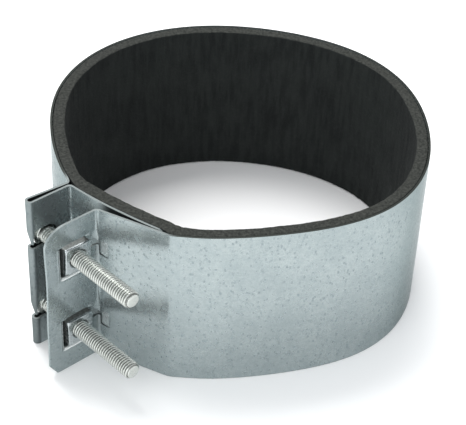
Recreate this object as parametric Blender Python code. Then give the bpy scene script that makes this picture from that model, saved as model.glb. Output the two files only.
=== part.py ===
"""Foam-lined two-bolt clamp for round ventilation duct.

The steel band stands upright with its lower rim at z = 0, and the origin is the middle of its
footprint. The closure (two lugs, two bolts, two nuts) is on the -Y side, and the bolts lie along X.
"Front" means towards +X, "rear" towards -X, and the far side is the +Y side.
Paths are laid out about the ring's own axis, which stands at y = AXIS_Y.
Lengths are in millimetres and angles in degrees; the meshes are made in metres.
"""

import math

import bmesh
import bpy
from mathutils import Vector

MM = 0.001

# ---------------------------------------------------------------- band
AXIS_Y = 10.74             # the ring's axis stands this far behind the middle of the footprint
BAND_WIDTH = 60.0          # height of the band along Z
SHEET = 0.8                # sheet thickness
RING_RADIUS = 66.67        # mean outer radius of the sprung band
# slow waves of the free band: (order, amplitude, angle of a crest)
RING_WAVES = (
    (1, 0.32, 60.1),
    (2, 0.26, 69.7),
    (3, 1.07, 46.3),
    (4, 1.32, 9.3),
    (5, 0.51, 4.8),
)
RING_STEP = 3.0            # angle between the band's facets, about
RING_START = -57.5         # where the front half joins the ring
RING_END = 260.0           # where the rear half leaves the ring

FLEX_X = 9.3               # place of the flexing line on the far side of the band
FLEX_GAP = 0.5             # gap between the two halves there
FLEX_SEARCH = (60, 95)     # polar angles between which the flexing line is looked for
FLEX_PARTS = 100           # search steps in a degree

# ---------------------------------------------------------------- rear lug and tongue
REAR_FACE_X = -7.2         # rear lug, face towards the gap
REAR_END_Y = -70.2         # end of the lug's front sheet
REAR_ROOT = (-9.3, -66.75) # corner where the ring turns into the lug's rear sheet, outer face
REAR_ROOT_R = 0.8
FOLD_TIP_Y = -83.35        # outermost line of the rear lug's fold
FOLD_R = 1.65              # outer radius of the fold
TONGUE_ROOT_Y = -69.9      # start of the tongue on the lug's front sheet
TONGUE_BEND_Y = -67.35     # corner of the tongue's bend
TONGUE_BEND_R = 1.0
TONGUE_BEND_STEPS = 5
TONGUE_RUN = 37.0          # length of the tongue beyond its bend
TONGUE_START = 5.5         # heading of the tongue at its root, from +X
TONGUE_END = 17.5          # heading of the tongue at its tip

# ---------------------------------------------------------------- front lug and its nut pockets
FRONT_FACE_X = 8.4         # front lug, face away from the gap
FRONT_TIP_Y = -89.2        # free edge of the front lug
FRONT_BEND_Y = -68.75      # corner between the lug and the flat run
FRONT_BEND_R = 1.2
FLAT_END = (33.6, -59.55)  # corner between the flat run and the ring
FLAT_END_R = 9.0
TOP_CORNER_Y = 8.0         # rounded top corner, reach along Y
TOP_CORNER_Z = 6.5         # and along Z
LUG_CUT_X = (7.0, 9.0)     # span of the corner cutters, through the lug's sheet

POCKET_FLOOR_X = 3.9       # face of the pocket's floor towards the nut
POCKET_HALF = 6.0          # half the pocket's inner size along Y and Z
POCKET_OPENING = 0.7       # the hollow runs this far past the pocket's +Y end
FLOOR_HOLE_R = 4.0
FLOOR_HOLE_X = (0.0, 6.0)

# ---------------------------------------------------------------- bolts and nuts
BOLT_Y = -77.0
BOLT_HEIGHTS = (("upper", 45.0), ("lower", 15.0))
BOLT_R = 3.0               # M6
BOLT_LENGTH = 45.0
TIP_CHAMFER = 0.8
HEAD_R = 4.5
HEAD_HEIGHT = 2.4
HEAD_CHAMFER = 0.4
HEAD_SEAT_X = -8.3
SOCKET_AF = 4.0            # hexagon socket, across flats
SOCKET_DEPTH = 1.6

NUT_AF = 10.0              # square nut, across flats
NUT_THICK = 5.0
NUT_BORE_R = 3.1
NUT_FACE_X = 9.4           # front face of the nut
NUT_EDGE = 0.35            # bevel on the nut's edges

# ---------------------------------------------------------------- openings in the rear lug
FOLD_GAP_X = -8.45         # between the fold's two sheets
REAR_CUT_X = -12.0         # clear of the lug on the -X side
OPENING_TIP_Y = -84.2      # clear of the fold on the -Y side
OPENING_DROP = 3.8         # lower edge of the openings, below the bolt
OBLONG_Y = (-82.2, -73.0)
OBLONG_RISE = 3.5
OBLONG_FRONT_X = -6.5
HEAD_CLEARANCE = 0.4       # round the bolt's head
HEAD_WAY_FRONT_X = -8.9
HEAD_WAY_RISE = 4.6
SLIT_FRONT_X = -6.0
# outline of the slit through the fold: (y, z from the bolt)
SLIT_OUTLINE = (
    (OPENING_TIP_Y, -OPENING_DROP), (-81.9, -OPENING_DROP), (-81.9, -1.9),
    (-82.9, -1.7), (-83.3, 3.4), (OPENING_TIP_Y, 3.8),
)

# ---------------------------------------------------------------- foam
GLUE = 0.2                 # film between sheet and foam
FOAM_THICK = 3.9
FOAM_DEPTH = SHEET + GLUE  # foam's outer face, inwards from the band's outer face
FOAM_JOINT = 0.3           # shift that parts one foam piece from the next
CLOSURE_STEP_X = -5.6      # second point of the closure foam's outer face
CLOSURE_STEP_DROP = 0.06   # and its distance below the tongue's bend along Y
CLOSURE_TONGUE_END_X = 30.0  # the closure foam follows the tongue up to here

# ---------------------------------------------------------------- meshing
ROUND_SIDES = 32
ARC_STEPS = 8              # fold, lug corner and the tongue's run
OVERRUN = 1.0              # cutters reach this far past the faces they open
MITRE_LIMIT = 0.3          # least cosine used when a corner is mitred
SMOOTH_ANGLE = 30.0


# ---------------------------------------------------------------- plane geometry
def outer_radius(angle):
    """Outer radius of the free band at a polar angle."""
    radius = RING_RADIUS
    for order, size, crest in RING_WAVES:
        radius += size * math.cos(math.radians(order * (angle - crest)))
    return radius


def ring_point(angle, inset=0.0):
    radius = outer_radius(angle) - inset
    turn = math.radians(angle)
    return (radius * math.cos(turn), radius * math.sin(turn))


def ring_points(start, end, inset=0.0):
    """Points along the band from start to end, counter-clockwise, in even steps."""
    count = max(2, int(round((end - start) / RING_STEP)))
    return [ring_point(start + (end - start) * i / count, inset) for i in range(count + 1)]


def flex_ends():
    """Polar angles of the front and rear halves' ends, either side of the flexing line."""
    first, last = (angle * FLEX_PARTS for angle in FLEX_SEARCH)
    middle = next(i / FLEX_PARTS for i in range(first, last)
                  if ring_point(i / FLEX_PARTS, SHEET / 2)[0] <= FLEX_X)
    half_gap = math.degrees(FLEX_GAP / 2 / outer_radius(middle))
    return middle - half_gap, middle + half_gap


def arc(centre, radii, start, end):
    """Points on an arc about a centre; start and end are in radians."""
    turns = [start + (end - start) * i / ARC_STEPS for i in range(ARC_STEPS + 1)]
    return [(centre[0] + radii[0] * math.cos(t), centre[1] + radii[1] * math.sin(t))
            for t in turns]


def rounded(before, corner, after, radius, steps):
    """An arc of the given radius that rounds one corner of a path."""
    corner = Vector(corner)
    back = (Vector(before) - corner).normalized()
    ahead = (Vector(after) - corner).normalized()
    half = back.angle(ahead) / 2.0
    reach = radius / math.tan(half)
    middle = corner + (back + ahead).normalized() * (radius / math.sin(half))
    first = corner + back * reach - middle
    last = corner + ahead * reach - middle
    turn = math.atan2(first.x * last.y - first.y * last.x, first.dot(last))
    points = []
    for i in range(steps + 1):
        t = turn * i / steps
        points.append((middle.x + first.x * math.cos(t) - first.y * math.sin(t),
                       middle.y + first.x * math.sin(t) + first.y * math.cos(t)))
    return points


def curving_run(start, heading, end_heading, length, steps):
    """Points along a run that turns evenly from one heading to another."""
    x, y = start
    points = [(x, y)]
    for i in range(steps):
        turn = math.radians(heading + (end_heading - heading) * (i + 0.5) / steps)
        x += math.cos(turn) * length / steps
        y += math.sin(turn) * length / steps
        points.append((x, y))
    return points


def left_of(path, distance):
    """The path moved to its own left by a distance, with mitred corners."""
    moved = []
    for i, point in enumerate(path):
        before = Vector(path[max(i - 1, 0)])
        after = Vector(path[min(i + 1, len(path) - 1)])
        here = Vector(point)
        arriving = (here - before) if i > 0 else (after - here)
        leaving = (after - here) if i < len(path) - 1 else arriving
        side = Vector((-arriving.y, arriving.x)).normalized()
        next_side = Vector((-leaving.y, leaving.x)).normalized()
        mitre = (side + next_side).normalized()
        moved.append(tuple(here + mitre * (distance / max(mitre.dot(side), MITRE_LIMIT))))
    return moved


def shifted(point, dx, dy=0.0):
    return (point[0] + dx, point[1] + dy)


# ---------------------------------------------------------------- solids
def loft(sections):
    """A solid through equal closed sections, with both ends capped."""
    bm = bmesh.new()
    rows = [[bm.verts.new(co) for co in section] for section in sections]
    for row, following in zip(rows, rows[1:]):
        for i in range(len(row)):
            j = (i + 1) % len(row)
            bm.faces.new((row[i], row[j], following[j], following[i]))
    bm.faces.new(rows[0])
    bm.faces.new(rows[-1])
    return bm


def strip(right_side, left_side):
    """An upright strip of the band's width between two paths."""
    return loft([((*right, 0), (*left, 0), (*left, BAND_WIDTH), (*right, BAND_WIDTH))
                 for right, left in zip(right_side, left_side)])


def turned(profile, z, sides=ROUND_SIDES):
    """A solid turned about a bolt's axis: profile is (x, radius) from one end to the other."""
    turns = [2 * math.pi * i / sides for i in range(sides)]
    return loft([[(x, BOLT_Y + radius * math.cos(t), z + radius * math.sin(t)) for t in turns]
                 for x, radius in profile])


def cylinder(x_start, x_end, radius, z, sides=ROUND_SIDES):
    return turned([(x_start, radius), (x_end, radius)], z, sides)


def prism(outline, x_start, x_end):
    """A prism along X from an outline in Y and Z."""
    return loft([[(x, *point) for point in outline] for x in (x_start, x_end)])


def box(low, high):
    bm = bmesh.new()
    bmesh.ops.create_cube(bm, size=1.0)
    for v in bm.verts:
        v.co = Vector([(low[k] + high[k]) / 2 + v.co[k] * (high[k] - low[k]) for k in range(3)])
    return bm


# ---------------------------------------------------------------- objects
def new_object(name, bm, finish=None, origin=(0.0, 0.0, 0.0)):
    """Turns a bmesh in millimetres into an object with its origin at the given point."""
    bmesh.ops.recalc_face_normals(bm, faces=bm.faces[:])
    origin = Vector(origin)
    for v in bm.verts:
        v.co = (v.co - origin) * MM
    mesh = bpy.data.meshes.new(name)
    bm.to_mesh(mesh)
    bm.free()
    obj = bpy.data.objects.new(name, mesh)
    obj.location = (origin + Vector((0.0, AXIS_Y, 0.0))) * MM
    bpy.context.scene.collection.objects.link(obj)
    if finish is not None:
        mesh.materials.append(finish)
        mesh.shade_smooth()
        mesh.set_sharp_from_angle(angle=math.radians(SMOOTH_ANGLE))
    return obj


def combine(obj, name, bm, operation="DIFFERENCE"):
    """Cuts a hidden helper solid from an object, or joins it on."""
    helper = new_object(name, bm)
    helper.hide_render = True
    helper.display_type = "WIRE"
    boolean = obj.modifiers.new(operation.lower() + "_" + helper.name, "BOOLEAN")
    boolean.operation = operation
    boolean.object = helper
    boolean.solver = "EXACT"


# ---------------------------------------------------------------- materials
def material(name, colour, metallic, roughness):
    finish = bpy.data.materials.new(name)
    finish.use_nodes = True
    shader = finish.node_tree.nodes["Principled BSDF"]
    shader.inputs["Base Color"].default_value = (*colour, 1.0)
    shader.inputs["Metallic"].default_value = metallic
    shader.inputs["Roughness"].default_value = roughness
    return finish


def galvanised(part):
    return material("galvanised_" + part, colour=(0.60, 0.66, 0.68), metallic=0.85, roughness=0.42)


def zinc(part, roughness):
    return material("zinc_" + part, colour=(0.74, 0.76, 0.74), metallic=0.95, roughness=roughness)


def black_foam(part):
    return material("foam_" + part, colour=(0.035, 0.040, 0.038), metallic=0.0, roughness=0.95)


# ---------------------------------------------------------------- paths of the band's outer face
def rear_path(flex_end):
    """Far side, round by -X, out along the fold's rear sheet, back along its front sheet."""
    ring = ring_points(flex_end, RING_END)
    fold_centre = (REAR_FACE_X - FOLD_R, FOLD_TIP_Y + FOLD_R)
    fold_start = (REAR_FACE_X - 2 * FOLD_R, fold_centre[1])
    return (ring
            + rounded(ring[-1], REAR_ROOT, fold_start, REAR_ROOT_R, 4)
            + arc(fold_centre, (FOLD_R, FOLD_R), math.pi, 2 * math.pi)
            + [(REAR_FACE_X, REAR_END_Y)])


def tongue_path():
    """From the rear lug's front sheet, round the bend, along inside the front half."""
    root = (REAR_FACE_X, TONGUE_ROOT_Y)
    bend = (REAR_FACE_X, TONGUE_BEND_Y)
    heading = math.radians(TONGUE_START)
    ahead = shifted(bend, math.cos(heading) * 5, math.sin(heading) * 5)  # only sets a direction
    path = [root] + rounded(root, bend, ahead, TONGUE_BEND_R, TONGUE_BEND_STEPS)
    run = curving_run(path[-1], TONGUE_START, TONGUE_END, TONGUE_RUN, ARC_STEPS)
    return path + run[1:]


def front_path(flex_end):
    """Free edge of the lug, bend, flat run, then the ring to the far side.

    Also gives the index of the point where the flat run's end arc meets the ring.
    """
    tip = (FRONT_FACE_X, FRONT_TIP_Y)
    bend = (FRONT_FACE_X, FRONT_BEND_Y)
    ring = ring_points(RING_START, flex_end)
    lead = ([tip]
            + rounded(tip, bend, FLAT_END, FRONT_BEND_R, 5)
            + rounded(bend, FLAT_END, ring[0], FLAT_END_R, 4))
    return lead + ring[1:], len(lead) - 1


# ---------------------------------------------------------------- steel
def steel(part, path):
    return new_object("band_" + part, strip(path, left_of(path, SHEET)), galvanised(part))


def open_rear_lug(band):
    """For each bolt: an oblong hole in the front sheet, a round hole in the rear sheet that is
    open towards the fold, and a slit with a sloping side through the fold."""
    for label, z in BOLT_HEIGHTS:
        bottom = z - OPENING_DROP
        combine(band, "hole_front_sheet_" + label,
                box((FOLD_GAP_X, OBLONG_Y[0], bottom),
                    (OBLONG_FRONT_X, OBLONG_Y[1], z + OBLONG_RISE)))
        combine(band, "hole_rear_sheet_" + label,
                cylinder(REAR_CUT_X, FOLD_GAP_X, HEAD_R + HEAD_CLEARANCE, z))
        combine(band, "head_way_" + label,
                box((REAR_CUT_X, OPENING_TIP_Y, bottom),
                    (HEAD_WAY_FRONT_X, BOLT_Y, z + HEAD_WAY_RISE)))
        slit = [(y, z + rise) for y, rise in SLIT_OUTLINE]
        combine(band, "slit_" + label, prism(slit, REAR_CUT_X, SLIT_FRONT_X))


def add_nut_pockets(band):
    """Square pockets from the front lug towards the gap, open on their +X and +Y sides."""
    outer = POCKET_HALF + SHEET
    for label, z in BOLT_HEIGHTS:
        low = (POCKET_FLOOR_X - SHEET, BOLT_Y - outer, z - outer)
        high = (FRONT_FACE_X - SHEET / 2, BOLT_Y + POCKET_HALF, z + outer)
        combine(band, "pocket_wall_" + label, box(low, high), "UNION")
    for label, z in BOLT_HEIGHTS:
        low = (POCKET_FLOOR_X, BOLT_Y - POCKET_HALF, z - POCKET_HALF)
        high = (FRONT_FACE_X + OVERRUN, BOLT_Y + POCKET_HALF + POCKET_OPENING, z + POCKET_HALF)
        combine(band, "pocket_hollow_" + label, box(low, high))
        combine(band, "pocket_hole_" + label, cylinder(*FLOOR_HOLE_X, FLOOR_HOLE_R, z))


def trim_front_lug(band):
    """Rounds the lug's top corner and clips its bottom corner."""
    outside_y = FRONT_TIP_Y - OVERRUN
    above_z = BAND_WIDTH + OVERRUN
    centre = (FRONT_TIP_Y + TOP_CORNER_Y, BAND_WIDTH - TOP_CORNER_Z)
    top = ([(outside_y, above_z), (outside_y, centre[1])]
           + arc(centre, (TOP_CORNER_Y, TOP_CORNER_Z), math.pi, math.pi / 2)
           + [(centre[0], above_z)])
    combine(band, "lug_top_corner", prism(top, *LUG_CUT_X))
    bottom = [(outside_y, -1.4), (FRONT_TIP_Y + 3.0, -1.4), (outside_y, 4.1)]
    combine(band, "lug_bottom_corner", prism(bottom, *LUG_CUT_X))


# ---------------------------------------------------------------- foam liner
def foam(part, outer, inner):
    new_object("foam_liner_" + part, strip(outer, inner), black_foam(part))


def build_foam(rear_flex_end, tongue, front, arc_end):
    """Three foam pieces: the rear ring, the closure, and the front ring from arc_end on."""
    rear_outer = ring_points(rear_flex_end, RING_END, FOAM_DEPTH)
    rear_inner = left_of(rear_outer, FOAM_THICK)
    foam("rear", rear_outer, rear_inner)

    # the closure piece bridges to the tongue, follows it, then takes the flat run's end arc
    tongue_inside = left_of(tongue, FOAM_DEPTH)
    front_inside = left_of(front, FOAM_DEPTH)
    bend_end = TONGUE_BEND_STEPS + 1       # index of the last point of the tongue's bend
    outer = [shifted(rear_outer[-1], FOAM_JOINT),
             (CLOSURE_STEP_X, tongue_inside[bend_end][1] - CLOSURE_STEP_DROP)]
    outer += [p for p in tongue_inside[bend_end + 1:] if p[0] < CLOSURE_TONGUE_END_X]
    outer += front_inside[arc_end - 2:arc_end + 1]
    inner = left_of(outer, FOAM_THICK)
    inner[0] = shifted(rear_inner[-1], FOAM_JOINT)
    foam("closure", outer, inner)

    front_outer = front_inside[arc_end:]
    front_outer[0] = shifted(front_outer[0], FOAM_JOINT, FOAM_JOINT)
    front_inner = left_of(front_outer, FOAM_THICK)
    front_inner[0] = shifted(inner[-1], FOAM_JOINT, FOAM_JOINT)
    foam("front", front_outer, front_inner)


# ---------------------------------------------------------------- bolts and nuts
def build_bolt(label, z):
    """A cylinder-headed bolt with a hexagon socket; its head is at the -X end."""
    tip = HEAD_SEAT_X + BOLT_LENGTH
    head_end = HEAD_SEAT_X - HEAD_HEIGHT
    profile = [
        (head_end, HEAD_R - HEAD_CHAMFER),
        (head_end + HEAD_CHAMFER, HEAD_R),
        (HEAD_SEAT_X, HEAD_R),
        (HEAD_SEAT_X, BOLT_R),
        (tip - TIP_CHAMFER, BOLT_R),
        (tip, BOLT_R - TIP_CHAMFER),
    ]
    bolt = new_object("bolt_" + label, turned(profile, z), zinc("bolt_" + label, roughness=0.28),
                      (HEAD_SEAT_X, BOLT_Y, z))
    combine(bolt, "socket_" + label,
            cylinder(head_end - OVERRUN, head_end + SOCKET_DEPTH,
                     SOCKET_AF / math.sqrt(3.0), z, sides=6))


def build_nut(label, z):
    rear_face = NUT_FACE_X - NUT_THICK
    half = NUT_AF / 2
    block = box((rear_face, BOLT_Y - half, z - half), (NUT_FACE_X, BOLT_Y + half, z + half))
    nut = new_object("nut_" + label, block, zinc("nut_" + label, roughness=0.3),
                     ((rear_face + NUT_FACE_X) / 2, BOLT_Y, z))
    bevel = nut.modifiers.new("edges", "BEVEL")
    bevel.width = NUT_EDGE * MM
    bevel.segments = 1
    bevel.limit_method = "ANGLE"
    combine(nut, "bore_" + label,
            cylinder(rear_face - OVERRUN, NUT_FACE_X + OVERRUN, NUT_BORE_R, z))


def main():
    for old in list(bpy.data.objects):
        bpy.data.objects.remove(old, do_unlink=True)

    front_flex_end, rear_flex_end = flex_ends()
    tongue = tongue_path()
    front, arc_end = front_path(front_flex_end)

    band_rear = steel("rear", rear_path(rear_flex_end))
    steel("tongue", tongue)
    band_front = steel("front", front)
    open_rear_lug(band_rear)
    add_nut_pockets(band_front)
    trim_front_lug(band_front)

    build_foam(rear_flex_end, tongue, front, arc_end)

    for label, z in BOLT_HEIGHTS:
        build_bolt(label, z)
        build_nut(label, z)


main()
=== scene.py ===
"""Foam-lined two-bolt duct clamp, built around its CAD frame.

A band of sheet runs round the Z axis, its lower edge on z = 0. Its ends meet at -Y: the front lug
(+X side) carries two pressed nut pockets, the folded rear flange (-X side) the bolt heads. The
bolts lie along X. Lengths are in millimetres about the ring's own axis; `place` turns them into
metres in the row frame.
"""

import math

import bmesh
import bpy
import numpy as np
from mathutils import Matrix, Vector, geometry, noise


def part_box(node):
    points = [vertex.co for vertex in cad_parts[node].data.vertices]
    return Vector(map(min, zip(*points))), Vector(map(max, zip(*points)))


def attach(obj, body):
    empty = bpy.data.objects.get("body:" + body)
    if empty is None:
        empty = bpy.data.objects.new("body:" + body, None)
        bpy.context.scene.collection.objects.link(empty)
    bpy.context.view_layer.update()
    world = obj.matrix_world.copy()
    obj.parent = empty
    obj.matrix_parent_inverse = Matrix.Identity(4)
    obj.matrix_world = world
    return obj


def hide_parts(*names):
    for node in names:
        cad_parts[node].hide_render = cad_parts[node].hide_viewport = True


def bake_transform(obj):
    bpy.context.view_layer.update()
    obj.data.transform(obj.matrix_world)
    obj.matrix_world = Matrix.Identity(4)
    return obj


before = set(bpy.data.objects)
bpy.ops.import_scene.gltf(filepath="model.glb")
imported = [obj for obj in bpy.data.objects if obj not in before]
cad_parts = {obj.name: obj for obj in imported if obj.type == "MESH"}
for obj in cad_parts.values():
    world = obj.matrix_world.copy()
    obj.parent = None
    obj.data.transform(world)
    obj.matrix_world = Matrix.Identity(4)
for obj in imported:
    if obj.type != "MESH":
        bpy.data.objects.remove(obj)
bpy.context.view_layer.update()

MM = 0.001

# ---------------------------------------------------------------- driving dimensions
BAND_WIDTH = 60.0
SHEET = 0.8
RING_RADIUS = 66.67              # mean outer radius
# departures from round: waves per turn, size, angle of a crest in degrees
RING_WAVES = ((1, 0.32, 60.1), (2, 0.26, 69.7), (3, 1.07, 46.3), (4, 1.32, 9.3), (5, 0.51, 4.8))
RING_START, RING_END = -57.5, 260.0     # degrees
HINGE = (9.29, 66.77)
HINGE_ACROSS = (0.9966, -0.0823)        # direction of the ring at the hinge
REAR_FACE_X = -7.2
FOLD_TIP_Y = -83.35
FOLD_RADIUS = 1.65
BACK_ROOT = (-9.3, -66.75)
SEAM_Y = -68.8                   # where the folded band ends and the tongue begins
FRONT_FACE_X = 8.4
FRONT_TIP_Y = -89.2
FRONT_BEND = (FRONT_FACE_X, -68.75)
FLAT_END = (33.6, -59.55)        # the flat beside the front lug ends here
TONGUE_LENGTH = 38.0
TONGUE_START, TONGUE_END = 5.5, 17.5    # headings in degrees
FOAM = 3.9
GLUE = 0.2
BOLT_Y = -77.0
BOLT_Z = (45.0, 15.0)
NUT_FACE_X = 9.4
NUT_THICK = 5.0
NUT_HALF = 5.0
NUT_CORNER = 0.45
NUT_BORE = 3.08
HEAD_SEAT_X = -8.3
BOLT_LENGTH = 45.0
THREAD_MAJOR, THREAD_MINOR = 2.98, 2.36     # radii of the M6 x 1 thread

# pressed nut pockets of the front lug
POCKET_DEPTH = 4.5
POCKET_TIP_Y = -84.05            # upper edge of the wall nearest the lug's tip
POCKET_LOW_Z = -7.0              # upper edge of the lower wall, from the bolt's axis
WALL_WIDTH = 1.50                # finely meshed strip along a wall
WALL_CREST_RADIUS, WALL_FOOT_RADIUS = 0.85, 0.40
WALL_SLOPE = math.radians(86.0)

# the ring's axis stands this far from the frame's origin
bolt_low, bolt_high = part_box("bolt_upper")
AXIS_Y = (bolt_low.y + bolt_high.y) / 2 / MM - BOLT_Y


def place(points):
    """Millimetres about the ring's axis to metres in the row frame."""
    moved = np.asarray(points, float).copy()
    moved[:, 1] += AXIS_Y
    return moved * MM


# ---------------------------------------------------------------- plane geometry
def ring_point(angle, inset=0.0):
    radius = RING_RADIUS
    for order, size, crest in RING_WAVES:
        radius += size * math.cos(math.radians(order * (angle - crest)))
    radius -= inset
    turn = math.radians(angle)
    return (radius * math.cos(turn), radius * math.sin(turn))


def ring_points(inset=0.0, step=0.8):
    span = RING_END - RING_START
    count = int(round(span / step))
    return [ring_point(RING_START + span * i / count, inset) for i in range(count + 1)]


def rounded(before, corner, after, radius, steps):
    """Arc that rounds a corner between two straight runs."""
    corner = Vector(corner)
    to_before = (Vector(before) - corner).normalized()
    to_after = (Vector(after) - corner).normalized()
    half = to_before.angle(to_after) / 2.0
    reach = radius / math.tan(half)
    middle = corner + (to_before + to_after).normalized() * (radius / math.sin(half))
    first = corner + to_before * reach - middle
    last = corner + to_after * reach - middle
    turn = math.atan2(first.x * last.y - first.y * last.x, first.dot(last))
    out = []
    for i in range(steps + 1):
        angle = turn * i / steps
        out.append((middle.x + first.x * math.cos(angle) - first.y * math.sin(angle),
                    middle.y + first.x * math.sin(angle) + first.y * math.cos(angle)))
    return out


def arc_run(start, heading, end_heading, length, steps):
    """Points of a run whose heading (degrees) turns evenly."""
    x, y = start
    out = [(x, y)]
    for i in range(steps):
        angle = math.radians(heading + (end_heading - heading) * (i + 0.5) / steps)
        x += math.cos(angle) * length / steps
        y += math.sin(angle) * length / steps
        out.append((x, y))
    return out


class Path:
    """A plane path by arc length, with the direction to its left at every point."""

    def __init__(self, points):
        kept = [points[0]]
        for point in points[1:]:
            if math.hypot(point[0] - kept[-1][0], point[1] - kept[-1][1]) > 1e-3:
                kept.append(point)
        self.points = np.array(kept, float)
        steps = np.diff(self.points, axis=0)
        lengths = np.hypot(steps[:, 0], steps[:, 1])
        self.arcs = np.concatenate([[0.0], np.cumsum(lengths)])
        along = steps / lengths[:, None]
        left = np.stack([-along[:, 1], along[:, 0]], 1)
        both = np.zeros_like(self.points)
        both[:-1] += left
        both[1:] += left
        self.left = both / np.linalg.norm(both, axis=1)[:, None]
        self.length = float(self.arcs[-1])

    def at(self, arc):
        arc = np.asarray(arc, float)
        point, left = (np.stack([np.interp(arc, self.arcs, table[:, k]) for k in (0, 1)], -1)
                       for table in (self.points, self.left))
        return point, left / np.linalg.norm(left, axis=-1)[..., None]

    def find_y(self, y, low, high):
        """Arc length between low and high at which the path reaches y."""
        arc = np.linspace(low, high, 4001)
        point, _ = self.at(arc)
        return float(arc[int(np.argmin(np.abs(point[:, 1] - y)))])


def smooth(start, end, x):
    """Eased step from 0 at start to 1 at end; it falls with x where start is above end."""
    part = np.clip((np.asarray(x, float) - start) / (end - start), 0.0, 1.0)
    return part * part * (3 - 2 * part)


def window(x, rise_start, rise_end, fall_start, fall_end):
    return smooth(rise_start, rise_end, x) * smooth(fall_end, fall_start, x)


def noise_at(x, y, z):
    return noise.noise(Vector((x, y, z)))


def inside(points, loop):
    """Which points lie inside a closed loop."""
    x, y = points[:, 0], points[:, 1]
    out = np.zeros(len(points), bool)
    for i, (x1, y1) in enumerate(loop):
        x2, y2 = loop[(i + 1) % len(loop)]
        if y1 == y2:
            continue
        crosses = (y1 > y) != (y2 > y)
        out ^= crosses & (x < (x2 - x1) * (y - y1) / (y2 - y1) + x1)
    return out


def distance_to(points, loop, reach=3):
    """Distance of each point to a closed loop; far beyond the reach it stays huge."""
    best = np.full(len(points), 1e9)
    x = points[:, 0]
    for i in range(len(loop)):
        start = np.array(loop[i], float)
        end = np.array(loop[(i + 1) % len(loop)], float)
        near = (x > min(start[0], end[0]) - reach) & (x < max(start[0], end[0]) + reach)
        if not near.any():
            continue
        close = points[near]
        edge = end - start
        part = np.clip(((close - start) @ edge) / max(edge @ edge, 1e-12), 0, 1)
        gap = np.linalg.norm(close - (start + part[:, None] * edge), axis=1)
        best[near] = np.minimum(best[near], gap)
    return best


def resampled(loop, step):
    """A closed loop with its long edges divided; step is a function of the position."""
    out = []
    for i in range(len(loop)):
        start = np.array(loop[i], float)
        end = np.array(loop[(i + 1) % len(loop)], float)
        length = float(np.linalg.norm(end - start))
        if length > 20:          # long straight edges pass through coarse and fine zones
            done = 0.0
            while done < length:
                here = start + (end - start) * (done / length)
                out.append(tuple(here))
                done += step(*here)
            if length - (done - step(*here)) < 0.4 * step(*here):
                out.pop()
        else:
            count = max(1, int(math.ceil(length / step(*((start + end) / 2)))))
            for k in range(count):
                out.append(tuple(start + (end - start) * (k / count)))
    return out


def spread(start, end, step):
    """Middles of equal steps between start and end."""
    count = max(1, int(round((end - start) / step)))
    return [start + (end - start) * (i + 0.5) / count for i in range(count)]


def grid(arcs, heights, spacing):
    return [(arc, z, spacing) for arc in arcs for z in heights]


def zone(start, end, arc_step, z_step):
    """Mesh points over the whole width of a strip between two arc lengths."""
    return grid(spread(start, end, arc_step), spread(0.0, BAND_WIDTH, z_step), arc_step)


# ---------------------------------------------------------------- the band's path
BACK_X = REAR_FACE_X - 2 * FOLD_RADIUS
FOLD_X = REAR_FACE_X - FOLD_RADIUS
FOLD_Y = FOLD_TIP_Y + FOLD_RADIUS


def make_band_path():
    """From the front lug's tip round the ring and down the rear flange, folded back up."""
    ring = ring_points()
    front_tip = (FRONT_FACE_X, FRONT_TIP_Y)
    band = [front_tip]
    band += rounded(front_tip, FRONT_BEND, FLAT_END, 1.2, 12)
    band += rounded(FRONT_BEND, FLAT_END, ring[0], 9.0, 24) + ring[1:]
    band += rounded(ring[-1], BACK_ROOT, (BACK_X, FOLD_Y), 0.8, 12)
    band.append((BACK_X, FOLD_Y))
    for i in range(1, 33):
        turn = math.pi + math.pi * i / 32
        band.append((FOLD_X + FOLD_RADIUS * math.cos(turn), FOLD_Y + FOLD_RADIUS * math.sin(turn)))
    band.append((REAR_FACE_X, SEAM_Y))
    return Path(band)


band_path = make_band_path()

# arc lengths along the band
END_ARC = band_path.length
FOLD_END_ARC = END_ARC - (SEAM_Y - FOLD_Y)
FOLD_TIP_ARC = FOLD_END_ARC - FOLD_RADIUS * math.pi / 2
FOLD_START_ARC = FOLD_END_ARC - FOLD_RADIUS * math.pi
ROOT_ARC = band_path.find_y(-66.9, FOLD_START_ARC - 16.5, FOLD_START_ARC - 12.0)
BEND_START, BEND_END = 19.61, 21.08     # bend of the front lug
LEG_ARC = 21.0                          # upright leg of the slit beside the front bend


def lug_arc(y):
    return y - FRONT_TIP_Y


def flange_arc(y):
    """Arc length on the folded-back layer of the rear flange."""
    return FOLD_END_ARC + (y - FOLD_Y)


# ---------------------------------------------------------------- mesh builders
def new_mesh(name, points, faces):
    mesh = bpy.data.meshes.new(name)
    mesh.from_pydata([tuple(v) for v in place(points)], [],
                     [tuple(int(i) for i in face) for face in faces])
    bm = bmesh.new()
    bm.from_mesh(mesh)
    bmesh.ops.recalc_face_normals(bm, faces=bm.faces[:])
    bm.to_mesh(mesh)
    bm.free()
    return mesh


def add_attribute(mesh, name, values):
    values = np.asarray(values, np.float32)
    kind, field = ("FLOAT", "value") if values.ndim == 1 else ("FLOAT_VECTOR", "vector")
    mesh.attributes.new(name, kind, "POINT").data.foreach_set(field, values.ravel())


def link_object(name, data):
    obj = bpy.data.objects.new(name, data)
    bpy.context.scene.collection.objects.link(obj)
    return obj


def shaded_object(name, mesh, material, sharp):
    """Smooth-shaded object with edges sharper than `sharp` degrees kept."""
    mesh.shade_smooth()
    mesh.set_sharp_from_angle(angle=math.radians(sharp))
    mesh.materials.append(material)
    return link_object(name, mesh)


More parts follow.
